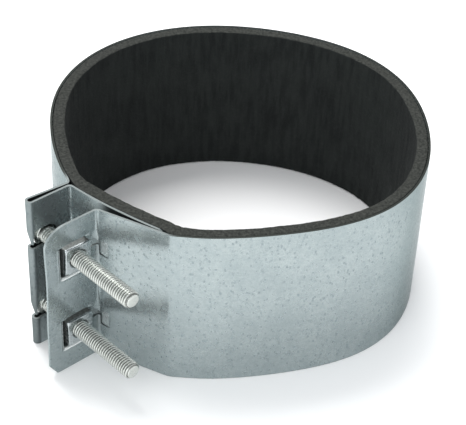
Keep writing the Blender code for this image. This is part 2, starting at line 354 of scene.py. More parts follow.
def triangulate(outline, holes, points):
    """Flat vertices and triangles of a blank. Points are (arc, height, spacing)."""
    loops = [outline] + holes

    def on_blank(spots):
        keep = inside(spots, outline)
        for hole in holes:
            keep &= ~inside(spots, hole)
        return keep

    verts, edges = [], []
    for loop in loops:
        base, count = len(verts), len(loop)
        verts += [Vector(point) for point in loop]
        edges += [(base + i, base + (i + 1) % count) for i in range(count)]
    points = np.array(points, float)
    points = points[on_blank(points[:, :2])]
    spots, spacing = points[:, :2], points[:, 2]
    near = np.full(len(spots), 1e9)
    for loop in loops:
        near = np.minimum(near, distance_to(spots, loop))
    verts += [Vector(spot) for spot in spots[near > 0.55 * spacing]]
    flat, _, faces, _, _, _ = geometry.delaunay_2d_cdt(verts, edges, [], 0, 1e-5, False)
    flat = np.array([(v.x, v.y) for v in flat], float)
    tris = np.array([face for face in faces if len(face) == 3], int)
    tris = tris[on_blank(flat[tris].mean(1))]
    first, second, third = (flat[tris[:, k]] for k in range(3))
    area = ((second[:, 0] - first[:, 0]) * (third[:, 1] - first[:, 1])
            - (second[:, 1] - first[:, 1]) * (third[:, 0] - first[:, 0]))
    solid = np.abs(area) > 1e-7
    tris, area = tris[solid], area[solid]
    tris[area < 0] = tris[area < 0][:, ::-1]
    used, tris = np.unique(tris, return_inverse=True)
    return flat[used], tris.reshape(-1, 3)


def sheet(name, path, outline, holes, points, push, dull_and_painted_light):
    """Bends a flat blank (arc length, height) along a path.

    push gives how far each point is pressed to the path's left, the last argument the painted shade
    (above zero) and painted highlight (below zero) on the sheet there, on its outer (0) and inner
    (1) side.
    """
    flat, tris = triangulate(outline, holes, points)
    arc, z = flat[:, 0], flat[:, 1]
    spots, left = path.at(arc)
    outer = np.column_stack([spots + left * push(arc, z)[:, None], z])
    face_normals = np.cross(outer[tris[:, 1]] - outer[tris[:, 0]],
                            outer[tris[:, 2]] - outer[tris[:, 0]])
    normals = np.zeros_like(outer)
    for k in range(3):
        np.add.at(normals, tris[:, k], face_normals)
    normals /= np.linalg.norm(normals, axis=1)[:, None]
    if np.sum(normals * np.column_stack([left, np.zeros(len(left))])) < 0:
        normals = -normals
    inner = outer + normals * SHEET

    edges = dict.fromkeys((int(t[k]), int(t[(k + 1) % 3])) for t in tris for k in range(3))
    rim = [edge for edge in edges if (edge[1], edge[0]) not in edges]
    count = len(outer)
    faces = [tuple(t) for t in tris]
    faces += [(t[2] + count, t[1] + count, t[0] + count) for t in tris]
    faces += [(edge[1], edge[0], edge[0] + count, edge[1] + count) for edge in rim]
    mesh = new_mesh(name, np.vstack([outer, inner]), faces)
    # the inner side reads its textures 40 mm away from the outer side's
    both = np.vstack([np.column_stack([flat, np.full(count, level)]) for level in (0.0, 40.0)])
    add_attribute(mesh, "flat", both * MM)
    add_attribute(mesh, "dull_and_painted_light", np.concatenate([dull_and_painted_light(arc, z, side) for side in (0, 1)]))
    # the cut edges are made darker along the ring than near the lugs
    ring_edge_dark = smooth(43.0, 50.0, arc) * smooth(ROOT_ARC - 1.0, ROOT_ARC - 6.0, arc)
    add_attribute(mesh, "ring_edge_dark", np.tile(ring_edge_dark, 2))
    return shaded_object(name, mesh, STEEL, sharp=38)


def rings_object(name, rings, material, capped, sharp):
    """A body from rings of equal count. Capped, its end rings are closed with fans to their
    centres; otherwise the last ring joins the first."""
    count = len(rings[0])
    verts = np.vstack([np.asarray(ring, float) for ring in rings])
    last = (len(rings) - 1) * count
    pairs = [(k, (k + 1) % count) for k in range(count)]
    faces = [(i + k, i + j, i + count + j, i + count + k)
             for i in range(0, last, count) for k, j in pairs]
    if capped:
        base = len(verts)
        verts = np.vstack([verts, verts[:count].mean(0), verts[-count:].mean(0)])
        for k, j in pairs:
            faces.append((base, j, k))
            faces.append((base + 1, last + k, last + j))
    else:
        faces += [(last + k, last + j, j, k) for k, j in pairs]
    return shaded_object(name, new_mesh(name, verts, faces), material, sharp)


# ---------------------------------------------------------------- materials
class Nodes:
    """Short helper for building node materials; values may be sockets, numbers or colours."""

    def __init__(self, name):
        self.material = bpy.data.materials.new(name)
        self.material.use_nodes = True
        self.tree = self.material.node_tree
        self.shader = self.tree.nodes["Principled BSDF"]

    def add(self, kind):
        return self.tree.nodes.new(kind)

    def feed(self, value, socket):
        if isinstance(value, bpy.types.NodeSocket):
            self.tree.links.new(value, socket)
        else:
            socket.default_value = (*value, 1.0) if isinstance(value, tuple) else value

    def set(self, name, value):
        self.feed(value, self.shader.inputs[name])

    def attribute(self, name, output="Fac"):
        node = self.add("ShaderNodeAttribute")
        node.attribute_name = name
        return node.outputs[output]

    def object_coords(self):
        return self.add("ShaderNodeTexCoord").outputs["Object"]

    def math(self, operation, *values, clamp=False):
        node = self.add("ShaderNodeMath")
        node.operation = operation
        node.use_clamp = clamp
        for value, socket in zip(values, node.inputs):
            self.feed(value, socket)
        return node.outputs[0]

    def plus(self, first, second, clamp=False):
        return self.math("ADD", first, second, clamp=clamp)

    def minus(self, first, second):
        return self.math("SUBTRACT", first, second)

    def times(self, first, second, clamp=False):
        return self.math("MULTIPLY", first, second, clamp=clamp)

    def ramp(self, source, span, to=(0.0, 1.0)):
        """Eased map of the source's span onto another range."""
        node = self.add("ShaderNodeMapRange")
        node.interpolation_type = "SMOOTHSTEP"
        self.feed(source, node.inputs["Value"])
        node.inputs["From Min"].default_value, node.inputs["From Max"].default_value = span
        node.inputs["To Min"].default_value, node.inputs["To Max"].default_value = to
        return node.outputs["Result"]

    def mix(self, factor, base, over):
        node = self.add("ShaderNodeMix")
        node.data_type = "RGBA"
        for index, value in ((0, factor), (6, base), (7, over)):
            self.feed(value, node.inputs[index])
        return node.outputs[2]

    def tint(self, base, over, mask, span, amount):
        """Lays a colour over the base by the given amount where the mask rises."""
        return self.mix(self.times(self.ramp(mask, span), amount), base, over)

    def noise(self, vector, scale, detail=2.0, roughness=0.5):
        node = self.add("ShaderNodeTexNoise")
        node.inputs["Scale"].default_value = scale
        node.inputs["Detail"].default_value = detail
        node.inputs["Roughness"].default_value = roughness
        self.feed(vector, node.inputs["Vector"])
        return node.outputs["Fac"]

    def cells(self, vector, scale, output="Distance"):
        node = self.add("ShaderNodeTexVoronoi")
        node.feature = "F1"
        node.inputs["Scale"].default_value = scale
        self.feed(vector, node.inputs["Vector"])
        return node.outputs[output]

    def stretched(self, vector, scale):
        node = self.add("ShaderNodeMapping")
        node.inputs["Scale"].default_value = scale
        self.feed(vector, node.inputs["Vector"])
        return node.outputs[0]

    def level(self, span):
        """Mask of the faces that look up or down."""
        geo = self.add("ShaderNodeNewGeometry")
        xyz = self.add("ShaderNodeSeparateXYZ")
        self.feed(geo.outputs["True Normal"], xyz.inputs[0])
        return self.ramp(self.math("ABSOLUTE", xyz.outputs[2]), span)

    def bump(self, height, strength, distance):
        node = self.add("ShaderNodeBump")
        node.inputs["Strength"].default_value = strength
        node.inputs["Distance"].default_value = distance
        self.feed(height, node.inputs["Height"])
        self.set("Normal", node.outputs[0])


def galvanised_material():
    mat = Nodes("galvanised_sheet")
    flat = mat.attribute("flat", "Vector")
    # spangle: faint crystal patches of a few millimetres
    spangle = mat.add("ShaderNodeSeparateColor")
    mat.feed(mat.cells(flat, scale=260.0, output="Color"), spangle.inputs[0])
    cloud = mat.noise(flat, scale=55.0, detail=3.0, roughness=0.55)
    grain = mat.noise(mat.stretched(flat, (1.0, 1.6, 1.0)), scale=900.0, detail=3.0, roughness=0.65)
    # small dark specks of half a millimetre to a millimetre, gathered in places
    speck_cells = mat.cells(mat.stretched(flat, (1.0, 0.72, 1.0)), scale=760.0)
    speck_pick = mat.noise(flat, scale=420.0, roughness=0.6)
    speck = mat.times(mat.ramp(speck_cells, span=(0.46, 0.16)),
                      mat.ramp(speck_pick, span=(0.40, 0.56)))
    speck = mat.times(speck, mat.ramp(cloud, span=(0.34, 0.62), to=(0.5, 1.0)))
    sheared = mat.level(span=(0.75, 0.95))
    # fine drawing streaks along the strip
    streak = mat.noise(mat.stretched(flat, (0.05, 1.0, 1.0)), scale=1500.0)

    tone = mat.mix(mat.ramp(cloud, span=(0.3, 0.7)), (0.316, 0.366, 0.370), (0.370, 0.420, 0.421))
    tone = mat.tint(tone, (0.44, 0.488, 0.492), mask=grain, span=(0.3, 0.7), amount=0.28)
    tone = mat.mix(mat.times(spangle.outputs[0], 0.10), tone, (0.27, 0.315, 0.325))
    tone = mat.tint(tone, (0.25, 0.30, 0.32), mask=mat.noise(flat, scale=1300.0, roughness=0.6),
                    span=(0.48, 0.66), amount=0.30)
    tone = mat.tint(tone, (0.24, 0.29, 0.305), mask=mat.noise(flat, scale=380.0, roughness=0.55),
                    span=(0.42, 0.62), amount=0.20)
    tone = mat.mix(mat.times(speck, 0.50), tone, (0.175, 0.22, 0.24))
    # cut edges: darker along the ring than near the lugs
    edge = mat.mix(mat.attribute("ring_edge_dark"), (0.150, 0.168, 0.168), (0.030, 0.033, 0.030))
    tone = mat.mix(sheared, tone, edge)
    # the attribute paints shade above zero and a highlight below it
    dull_and_painted_light = mat.attribute("dull_and_painted_light")
    painted_highlight = mat.times(dull_and_painted_light, -1.0, clamp=True)
    dull_and_painted_light = mat.times(mat.plus(dull_and_painted_light, 0.0, clamp=True),
                     mat.ramp(grain, span=(0.2, 0.6), to=(0.9, 1.0)))
    # painted highlight: a pale colour where the attribute is below zero, on lips, crests and the
    # slit's facet
    tone = mat.mix(painted_highlight, tone, (0.80, 0.83, 0.82))
    dull_and_painted_light = mat.times(dull_and_painted_light, mat.minus(1.0, sheared))
    # painted shade: near black where the attribute is above zero, except on the cut edges
    mat.set("Base Color", mat.mix(dull_and_painted_light, tone, (0.022, 0.027, 0.027)))

    rough = mat.ramp(cloud, span=(0.3, 0.7), to=(0.18, 0.24))
    for part, amount in ((speck, 0.22), (spangle.outputs[1], 0.06), (sheared, 0.25), (dull_and_painted_light, 0.3)):
        rough = mat.plus(rough, mat.times(part, amount))
    mat.set("Roughness", rough)
    mat.set("Metallic", mat.minus(0.78, mat.times(painted_highlight, 0.4)))
    mat.set("Specular Tint", (0.40, 0.44, 0.44))
    height = mat.plus(mat.times(grain, 0.35), mat.times(streak, 0.22))
    height = mat.minus(height, mat.times(speck, 0.35))
    height = mat.plus(height, mat.times(cloud, 0.9))
    mat.bump(height, strength=0.22, distance=0.00012)
    return mat.material


def foam_material():
    mat = Nodes("foam_rubber")
    flat = mat.attribute("flat", "Vector")
    cut = mat.level(span=(0.45, 0.85))
    coords = mat.object_coords()
    pores = mat.cells(coords, scale=1500.0)
    big_pores = mat.cells(coords, scale=800.0)
    grain = mat.noise(coords, scale=700.0, detail=4.0, roughness=0.7)
    cloud = mat.noise(coords, scale=60.0, detail=3.0, roughness=0.6)
    creases = mat.noise(mat.stretched(flat, (1.0, 0.16, 1.0)), scale=420.0, detail=3.0,
                        roughness=0.6)
    # cut edges
    mottle = mat.noise(coords, scale=1100.0, detail=3.0, roughness=0.7)
    edge = mat.mix(mat.ramp(mottle, span=(0.36, 0.64)),
                   (0.011, 0.0125, 0.011), (0.036, 0.0385, 0.034))
    edge = mat.tint(edge, (0.018, 0.019, 0.017), mask=pores, span=(0.35, 0.1), amount=0.55)
    # moulded faces
    wall = mat.mix(mat.ramp(creases, span=(0.35, 0.65)),
                   (0.0070, 0.0088, 0.0088), (0.015, 0.018, 0.0172))
    wall = mat.tint(wall, (0.019, 0.0225, 0.021), mask=cloud, span=(0.4, 0.7), amount=0.5)
    wall = mat.tint(wall, (0.045, 0.048, 0.044), mask=grain, span=(0.5, 0.75), amount=0.25)
    mat.set("Base Color", mat.mix(cut, wall, edge))
    mat.set("Metallic", 0.0)
    mat.set("Roughness", mat.ramp(grain, span=(0.3, 0.7), to=(0.72, 0.95)))
    mat.set("Specular IOR Level", 0.22)
    height = mat.times(pores, 0.5)
    for part, amount in ((grain, 0.6), (big_pores, 0.4), (creases, 1.4)):
        height = mat.plus(height, mat.times(part, amount))
    mat.bump(height, strength=0.55, distance=0.00025)
    return mat.material


def zinc_material(name, colour):
    """Plated zinc, made darker where its vertex attribute rises: painted shade, and oil in the
    bolts' threads.
    """
    mat = Nodes(name)
    painted_shade_and_oil = mat.attribute("painted_shade_and_oil")
    coords = mat.object_coords()
    cloud = mat.noise(coords, scale=220.0, detail=3.0, roughness=0.55)
    fine = mat.noise(coords, scale=2600.0, roughness=0.6)
    dull_and_painted_light = mat.noise(coords, scale=700.0, detail=3.0, roughness=0.65)
    tone = mat.mix(mat.ramp(cloud, span=(0.3, 0.7)), tuple(c * 0.90 for c in colour), colour)
    tone = mat.tint(tone, (0.46, 0.47, 0.45), mask=dull_and_painted_light, span=(0.55, 0.75), amount=0.35)
    # painted shade, and oil in the bolts' threads: near black where the attribute rises
    tone = mat.mix(mat.ramp(painted_shade_and_oil, span=(0.25, 0.95), to=(0.0, 0.86)), tone,
                   (0.046, 0.050, 0.044))
    mat.set("Base Color", tone)
    mat.set("Metallic", mat.minus(1.0, mat.times(painted_shade_and_oil, 0.55)))
    mat.set("Specular IOR Level", 0.2)
    mat.set("Roughness", mat.plus(mat.ramp(dull_and_painted_light, span=(0.3, 0.75), to=(0.17, 0.34)),
                                  mat.times(fine, 0.05)))
    mat.bump(mat.plus(fine, mat.times(dull_and_painted_light, 0.8)), strength=0.10, distance=0.00003)
    return mat.material


STEEL = galvanised_material()
RUBBER = foam_material()
BOLT_ZINC = zinc_material("zinc_bolt", (0.60, 0.625, 0.595))
NUT_ZINC = zinc_material("zinc_nut", (0.54, 0.58, 0.59))


# ---------------------------------------------------------------- the band's flat blank
def band_step(arc, z):
    """Edge length wanted along the outline."""
    if arc < 26.0:
        return 0.4
    if arc < 46.0:
        return 1.0
    if arc > ROOT_ARC - 3:
        return 0.4
    return 1.6


def band_outline():
    corner_rise = 6.5            # height of the lug's rounded upper corner
    low, high = 4.2, BAND_WIDTH - corner_rise
    loop = []
    for i in range(40):          # slightly wavy end of the lug
        z = low + (high - low) * i / 39
        loop.append((0.04 + 0.42 * math.exp(-((z - 38.0) / 11.0) ** 2)
                     + 0.10 * math.exp(-((z - 14.0) / 6.0) ** 2), z))
    for i in range(1, 17):
        turn = math.pi - math.pi / 2 * i / 16
        loop.append((8.0 + 7.96 * math.cos(turn), high + corner_rise * math.sin(turn)))
    loop += [(END_ARC, BAND_WIDTH), (END_ARC, 0.0), (3.1, 0.0), (2.6, 0.35)]
    return resampled(loop, band_step)[::-1]


# The window over a nut's pocket, the slot beside the tab and the L-shaped slit, in one loop.
# Each group: an arc length, then points (arc beyond it, height above the bolt's axis). Beyond
# -FRONT_TIP_Y the first column is the lug's y.
FRONT_OPENING = (
    (-FRONT_TIP_Y, (
        (-84.3, 6.18), (-83.2, 6.02), (-82.0, 6.0), (-72.1, 6.0), (-71.95, 5.8), (-71.9, 2.0),
        (-71.9, -6.8), (-71.8, -7.5), (-71.6, -7.6), (-71.5, -7.3))),
    (lug_arc(-71.5), ((0.0, 0.3), (0.12, 0.95), (0.45, 1.3), (1.0, 1.42))),
    (LEG_ARC, (
        (-0.5, 1.25), (-0.14, 0.9), (-0.14, -2.2), (-0.05, -2.65), (0.3, -2.85), (2.0, -3.25),
        (3.1, -3.42), (3.25, -3.32), (3.1, -3.2), (2.0, -3.02), (0.35, -2.6), (0.12, -2.3),
        (0.12, 1.2), (-0.1, 2.2), (-1.3, 3.7), (-3.2, 5.7))),
    (-FRONT_TIP_Y, (
        (-73.4, 6.75), (-74.2, 6.95), (-78.0, 6.8), (-82.0, 6.5), (-83.6, 6.42))),
)

# The edge of the rear opening round the fold: (arc beyond the fold's tip, height)
FOLD_EDGE = (
    (2.12, 1.5), (2.08, 0.3), (2.05, -1.5), (1.9, -1.95), (1.5, -2.05), (1.2, -1.6), (0.7, 0.3),
    (0.1, 2.0), (-0.7, 3.5), (-1.5, 4.3), (-2.4, 4.6))


def raised(loop, bolt_z, step):
    return resampled([(arc, z + bolt_z) for arc, z in loop], lambda arc, z: step)


def front_opening(bolt_z):
    loop = [(base + arc, z) for base, group in FRONT_OPENING for arc, z in group]
    return raised(loop, bolt_z, 0.33)


def bolt_hole(bolt_z, radius=4.2, count=48):
    turns = [2 * math.pi * i / count for i in range(count)]
    return [(lug_arc(BOLT_Y) + radius * math.cos(turn), bolt_z + radius * math.sin(turn))
            for turn in turns]


def rear_opening(bolt_z):
    """The head's round hole, its way out to the fold, the slit and the folded layer's oblong
    hole, in one loop."""
    oblong, head = 3.5, 4.9      # radii
    low, high = -3.8, 4.6        # edges of the way out to the fold
    low_arc, high_arc = 3.09, 1.69      # where they meet the round hole, from its centre
    centre = band_path.find_y(BOLT_Y, ROOT_ARC, FOLD_START_ARC)
    loop = [(centre + low_arc, low), (FOLD_TIP_ARC, low), (flange_arc(-81.2), low),
            (flange_arc(-80.2), -3.55)]
    right = flange_arc(-76.5)
    for i in range(17):
        turn = -math.pi / 2 + math.pi * i / 16
        loop.append((right + oblong * math.cos(turn), oblong * math.sin(turn)))
    loop += [(flange_arc(-79.8), oblong), (flange_arc(-80.9), 3.25), (flange_arc(-81.7), 2.6)]
    loop += [(FOLD_TIP_ARC + arc, z) for arc, z in FOLD_EDGE]
    loop.append((centre + high_arc, high))
    start, end = math.atan2(high, high_arc), 2 * math.pi + math.atan2(low, low_arc)
    for i in range(1, 40):
        turn = start + (end - start) * i / 40
        loop.append((centre + head * math.cos(turn), head * math.sin(turn)))
    return raised(loop, bolt_z, 0.36)


def band_points():
    """Mesh points of the band, finest along the pocket walls."""
    fine, coarse = 0.10, 0.3
    left = lug_arc(POCKET_TIP_Y)
    walls = []                   # arc from, arc to, z from, z to, arc step, z step
    for bolt_z in BOLT_Z:
        foot = bolt_z + POCKET_LOW_Z
        walls.append((left, left + WALL_WIDTH, foot, bolt_z + 6.2, fine, coarse))
        walls.append((left + WALL_WIDTH, lug_arc(-71.9), foot, foot + WALL_WIDTH, coarse, fine))
    points = []
    for arc, z, spacing in zone(0.0, BEND_START - 0.1, 0.46, 0.46):
        if not any(w[0] - 0.1 < arc < w[1] + 0.1 and w[2] - 0.1 < z < w[3] + 0.1 for w in walls):
            points.append((arc, z, spacing))
    for arc0, arc1, low, high, arc_step, z_step in walls:
        points += grid(spread(arc0, arc1, arc_step), spread(low, high, z_step), fine)
    points += zone(BEND_START - 0.1, BEND_END + 0.1, 0.21, 0.4)
    points += zone(BEND_END + 0.1, 26.0, 0.46, 0.46)
    points += zone(26.0, 46.0, 1.0, 1.5)
    points += zone(46.0, ROOT_ARC - 3, 1.5, 3.0)
    points += zone(ROOT_ARC - 3, ROOT_ARC + 0.4, 0.3, 0.6)
    points += zone(ROOT_ARC + 0.4, FOLD_START_ARC, 0.5, 0.5)
    points += zone(FOLD_START_ARC, FOLD_END_ARC, 0.26, 0.5)
    points += zone(FOLD_END_ARC, END_ARC, 0.5, 0.5)
    return points


# ---------------------------------------------------------------- how the band is pressed
def wall_profile(inward):
    """Depth of a pressed wall at a distance in from its upper edge."""
    crest, foot = WALL_CREST_RADIUS, WALL_FOOT_RADIUS
    crest_end, crest_depth = crest * math.sin(WALL_SLOPE), crest * (1 - math.cos(WALL_SLOPE))
    foot_depth = POCKET_DEPTH - foot * (1 - math.cos(WALL_SLOPE))
    foot_start = crest_end + (foot_depth - crest_depth) / math.tan(WALL_SLOPE)
    foot_end = foot_start + foot * math.sin(WALL_SLOPE)
    x = np.asarray(inward, float)
    out = np.where(x <= 0, 0.0, POCKET_DEPTH)
    part = (x > 0) & (x < crest_end)
    out[part] = crest - np.sqrt(crest ** 2 - x[part] ** 2)
    part = (x >= crest_end) & (x < foot_start)
    out[part] = crest_depth + (x[part] - crest_end) * math.tan(WALL_SLOPE)
    part = (x >= foot_start) & (x < foot_end)
    out[part] = POCKET_DEPTH - foot + np.sqrt(np.maximum(foot ** 2 - (foot_end - x[part]) ** 2, 0.0))
    return out


def lumps(arc, z, scale, seed):
    return np.array([noise_at(a / scale, b / scale, seed) for a, b in zip(arc, z)])


def slit_dip(arc, up):
    """Facet beside the slit and the soft dip along the window's slanting edge."""
    leg = np.clip(1 - (arc - LEG_ARC) / 3.25, 0, 1) * (arc > LEG_ARC) * smooth(3.6, 1.4, up)
    leg = np.where(up > -2.75 - 0.15 * np.clip(arc - LEG_ARC, 0, 4), leg, 0.0)
    start_arc, start_z = lug_arc(-73.4), 6.8
    run, rise = LEG_ARC - start_arc, 1.6 - start_z
    length = math.hypot(run, rise)
    along = np.clip(((arc - start_arc) * run + (up - start_z) * rise) / length ** 2, 0, 1)
    away = np.hypot(arc - (start_arc + along * run), up - (start_z + along * rise))
    above = ((arc - start_arc) * (-rise) + (up - start_z) * run) > 0
    slant = np.where(above & (away < 2.6), (1 - away / 2.6) ** 2, 0.0)
    return np.maximum(0.42 * leg, 0.40 * slant)


def band_push(arc, z):
    # a free sheet is never quite flat
    push = (0.10 * lumps(arc, z, 26.0, 3.1) * smooth(30.0, 40.0, arc)
            * smooth(ROOT_ARC - 2, ROOT_ARC - 12, arc))
    push += 0.22 * lumps(arc, z, 13.0, 8.2) * smooth(20.0, 15.0, arc)
    push += np.where(arc > ROOT_ARC,
                     0.07 * lumps(arc, z, 12.0, 5.7) * smooth(END_ARC, END_ARC - 4, arc), 0.0)
    # the lug's upper corner leans a little towards +X
    push += -0.25 * smooth(9.0, 0.0, arc) * smooth(50.0, 60.0, z)
    y = arc + FRONT_TIP_Y
    for bolt_z in BOLT_Z:
        up = z - bolt_z
        here = (up > POCKET_LOW_Z) & (up < 6.12) & (y > POCKET_TIP_Y) & (y < -71.7)
        tip_wall = wall_profile(y - POCKET_TIP_Y) / POCKET_DEPTH
        low_wall = wall_profile(up - POCKET_LOW_Z) / POCKET_DEPTH
        push = np.where(here, push * (1 - tip_wall * low_wall) + POCKET_DEPTH * tip_wall * low_wall,
                        push)
        # the sheet dips a little towards the pocket's rim
        rim = np.maximum(np.maximum(POCKET_TIP_Y - y, y + 71.0),
                         np.maximum(POCKET_LOW_Z - up, up - 6.5))
        push += np.where((~here) & (arc < 19.5) & (rim > 0),
                         0.18 * np.exp(-np.maximum(rim, 0) / 1.2), 0.0)
        push += slit_dip(arc, up)
        # the tab stands a little proud at its free corner
        tab = smooth(-6.0, 1.4, up) * smooth(20.6, 17.6, arc) * (up < 1.6) * (y > -71.7)
        push -= 0.35 * tab
    return push


def band_painted_light(arc, z, side):
    """Painted shade inside the fold, behind the flat over the tongue, on the pocket walls and the
    rear fold's outer face; painted highlights (negative) on the pocket walls' upper edges and the
    slit's facet."""
    if side == 1:
        # painted shade inside the fold and behind the flat over the tongue
        return np.maximum(smooth(ROOT_ARC - 2.0, ROOT_ARC + 0.5, arc),
                          window(arc, 20.6, 22.4, 46.0, 52.0))
    out = np.zeros(len(arc))
    y = arc + FRONT_TIP_Y
    from_tip = y - POCKET_TIP_Y
    for bolt_z in BOLT_Z:
        up = z - bolt_z
        from_low = up - POCKET_LOW_Z
        low = window(from_low, 0.05, 0.3, 0.7, 0.95)
        low *= smooth(0.2, 1.0, from_tip) * smooth(-73.0, -75.5, y)
        tip = window(from_tip, 0.22, 0.35, 0.75, 0.9)
        tip *= smooth(0.6, 1.4, from_low) * smooth(6.2, 5.6, up)
        line = window(from_tip, -0.22, -0.05, 0.1, 0.28)
        line *= smooth(0.0, 0.8, from_low) * smooth(6.4, 6.0, up)
        wall = smooth(0.82, 1.0, from_tip) * smooth(0.82, 1.0, from_low)
        wall *= smooth(6.2, 6.0, up) * smooth(-71.6, -71.8, y)
        facet = window(arc - LEG_ARC, 0.15, 0.5, 3.1, 3.4) * window(up, -2.9, -2.6, 2.4, 3.4)
        bend = window(arc, BEND_START - 0.5, BEND_START, BEND_END, BEND_END + 0.4)
        bend *= window(up, -7.5, -4.0, 1.0, 2.0)
        # painted shade along the tip wall's edge, on the pocket walls and on the bend beside the
        # tab, where it dims the bend's reflection
        out += 0.6 * line + 0.85 * wall + 0.30 * bend
        # painted highlights on the lower wall's lip, the tip wall's crest and the slit's facet
        out -= np.maximum(np.maximum(low, 0.75 * tip), 0.42 * facet)
    # painted shade on the rear fold's outer face, darker towards the bottom
    fold = window(arc, FOLD_START_ARC - 1.5, FOLD_START_ARC + 0.3,
                  FOLD_END_ARC - 0.1, FOLD_END_ARC + 0.6)
    return out + fold * (0.40 + 0.25 * smooth(42.0, 12.0, z))


band_holes = [opening(bolt_z) for bolt_z in BOLT_Z
              for opening in (front_opening, bolt_hole, rear_opening)]
clamp_band = sheet("clamp_band", band_path, band_outline(), band_holes, band_points(),
                   band_push, band_painted_light)


# ---------------------------------------------------------------- tongue
def make_tongue_path():
    """From the seam up the rear face, then bent towards +X along the foam."""
    bend = (REAR_FACE_X, -67.35)
    heading = math.radians(TONGUE_START)
    ahead = (bend[0] + math.cos(heading) * 5, bend[1] + math.sin(heading) * 5)
    points = [(REAR_FACE_X, SEAM_Y)] + rounded((REAR_FACE_X, -69.9), bend, ahead, 1.0, 14)
    points += arc_run(points[-1], TONGUE_START, TONGUE_END, TONGUE_LENGTH - 1.0, 60)[1:]
    return Path(points)


tongue_path = make_tongue_path()
TONGUE_ARC = tongue_path.length


def tongue_push(arc, z):
    return (0.10 * lumps(arc, z, 15.0, 1.4) * smooth(0.5, 8.0, arc)
            * smooth(TONGUE_ARC - 4, TONGUE_ARC - 14, arc))


def tongue_painted_shade(arc, z, side):
    """Painted shade on the part that slides behind the front end."""
    if side == 1:
        return np.zeros(len(arc))
    return 0.96 * smooth(9.0, 19.0, arc) * (
        1 - 0.55 * smooth(44.0, 60.0, z) * smooth(18.5, 13.0, arc))


tongue_outline = resampled(
    [(0.0, 0.0), (TONGUE_ARC - 1.5, 0.0), (TONGUE_ARC - 0.4, 0.5), (TONGUE_ARC, 1.6),
     (TONGUE_ARC, 58.4), (TONGUE_ARC - 0.4, 59.5), (TONGUE_ARC - 1.5, BAND_WIDTH),
     (0.0, BAND_WIDTH)],
    lambda arc, z: 0.5 if arc < 3 else 1.0)
tongue_points = zone(0.0, 3.0, 0.22, 0.8) + zone(3.0, TONGUE_ARC, 1.0, 1.5)
closure_tongue = sheet("closure_tongue", tongue_path, tongue_outline, [], tongue_points,
                       tongue_push, tongue_painted_shade)

# ---------------------------------------------------------------- foam ring
FOAM_STEP = 0.75
JOINT_X = 34.6                   # butt joint of the strip
FOAM_LOW = 0.12
FOAM_HEIGHTS = ([0.35, 0.8] + [1.6 + (58.4 - 1.6) * i / 34 for i in range(35)] + [59.2, 59.65])
# slightly rounded rims and a shallow dish: part of the thickness, drop below the upper edge
UPPER_CUT = ((0.03, 0.06), (0.10, 0.0), (0.24, 0.0), (0.42, 0.03), (0.58, 0.03), (0.75, 0.0),
             (0.90, 0.02), (0.98, 0.12))
# part of the thickness, lift above the lower edge
LOWER_CUT = ((0.97, 0.22), (0.89, 0.05), (0.6, 0.0), (0.3, 0.0), (0.06, 0.04))


def softened(values, rounds):
    """Averages each value of a closed run with its neighbours."""
    for _ in range(rounds):
        values = (np.roll(values, 1, 0) + 2 * values + np.roll(values, -1, 0)) / 4
    return values


def foam_outer_path():
    """The inner side of the band, the tongue and the flat beside the front lug, closed."""
    depth = SHEET + GLUE
    spots, left = tongue_path.at(np.linspace(0, TONGUE_ARC, 200))
    closure = [(float(x), float(y)) for x, y in spots + left * depth if -5.6 < x < 29.6]
    spots, left = band_path.at(np.linspace(BEND_END, 60.0, 200))
    ring_x = ring_point(RING_START)[0] - 0.9
    closure += [(float(x), float(y)) for x, y in spots + left * depth
                if 31.6 < x < ring_x and y < -50]
    line = Path(ring_points(depth) + closure)
    return Path([tuple(p) for p in line.points] + [tuple(line.points[0])])


def foam_inner_push(arc, x, y, z):
    """How far the inner face stands inwards of its even thickness at one place."""
    push = 0.16 * noise_at(arc / 2.6, z / 17.0, 4.0) + 0.12 * noise_at(arc / 1.3, z / 9.0, 9.0)
    push += 0.12 + 0.22 * noise_at(arc / 21.0, z / 60.0, 2.0)
    if y < -40:
        # bunched where the strip turns onto the tongue
        push += 0.45 * math.exp(-((x + 4.6) / 3.4) ** 2)
        push -= 0.3 * math.exp(-((x + 12.0) / 3.0) ** 2)
        # not squeezed over the tongue
        push += 0.72 * float(smooth(-7.0, 0.0, x) * smooth(37.5, 31.5, x))
        # bridges the step at the tongue's end
        push += 0.40 * math.exp(-((x - 33.4) / 1.9) ** 2)
        # butt joint, a fine crease
        push -= 0.12 * math.exp(-(abs(x - JOINT_X) / 0.6) ** 1.3)
        push += 0.12 * math.exp(-((x - JOINT_X) / 5.0) ** 2)
    return push


def foam_section(arc, outer, inward):
    """One closed section: outer face up, upper cut edge, inner face down, lower cut edge."""
    x, y = outer
    top = BAND_WIDTH - 0.08 - 0.07 * noise_at(arc / 14.0, 5.0, 1.0)
    joint = math.exp(-(abs(x - JOINT_X) / 0.5) ** 2) if y < -40 else 0.0
    heights = [FOAM_LOW + (top - FOAM_LOW) * z / BAND_WIDTH for z in FOAM_HEIGHTS]
    section = [(x, y, z) for z in heights]
    for part, drop in UPPER_CUT:
        push = foam_inner_push(arc, x, y, top) if part > 0.2 else 0.0
        spot = outer + (inward * part) * (FOAM + push * part)
        section.append((spot[0], spot[1], top - drop - 0.5 * joint * part
                        + 0.05 * noise_at(arc / 1.4, part * 3, 7.0)))
    for z in reversed(heights):
        spot = outer + inward * (FOAM + foam_inner_push(arc, x, y, z))
        section.append((spot[0], spot[1], z))
    for part, lift in LOWER_CUT:
        spot = outer + inward * part * FOAM
        section.append((spot[0], spot[1], FOAM_LOW + lift))
    return section


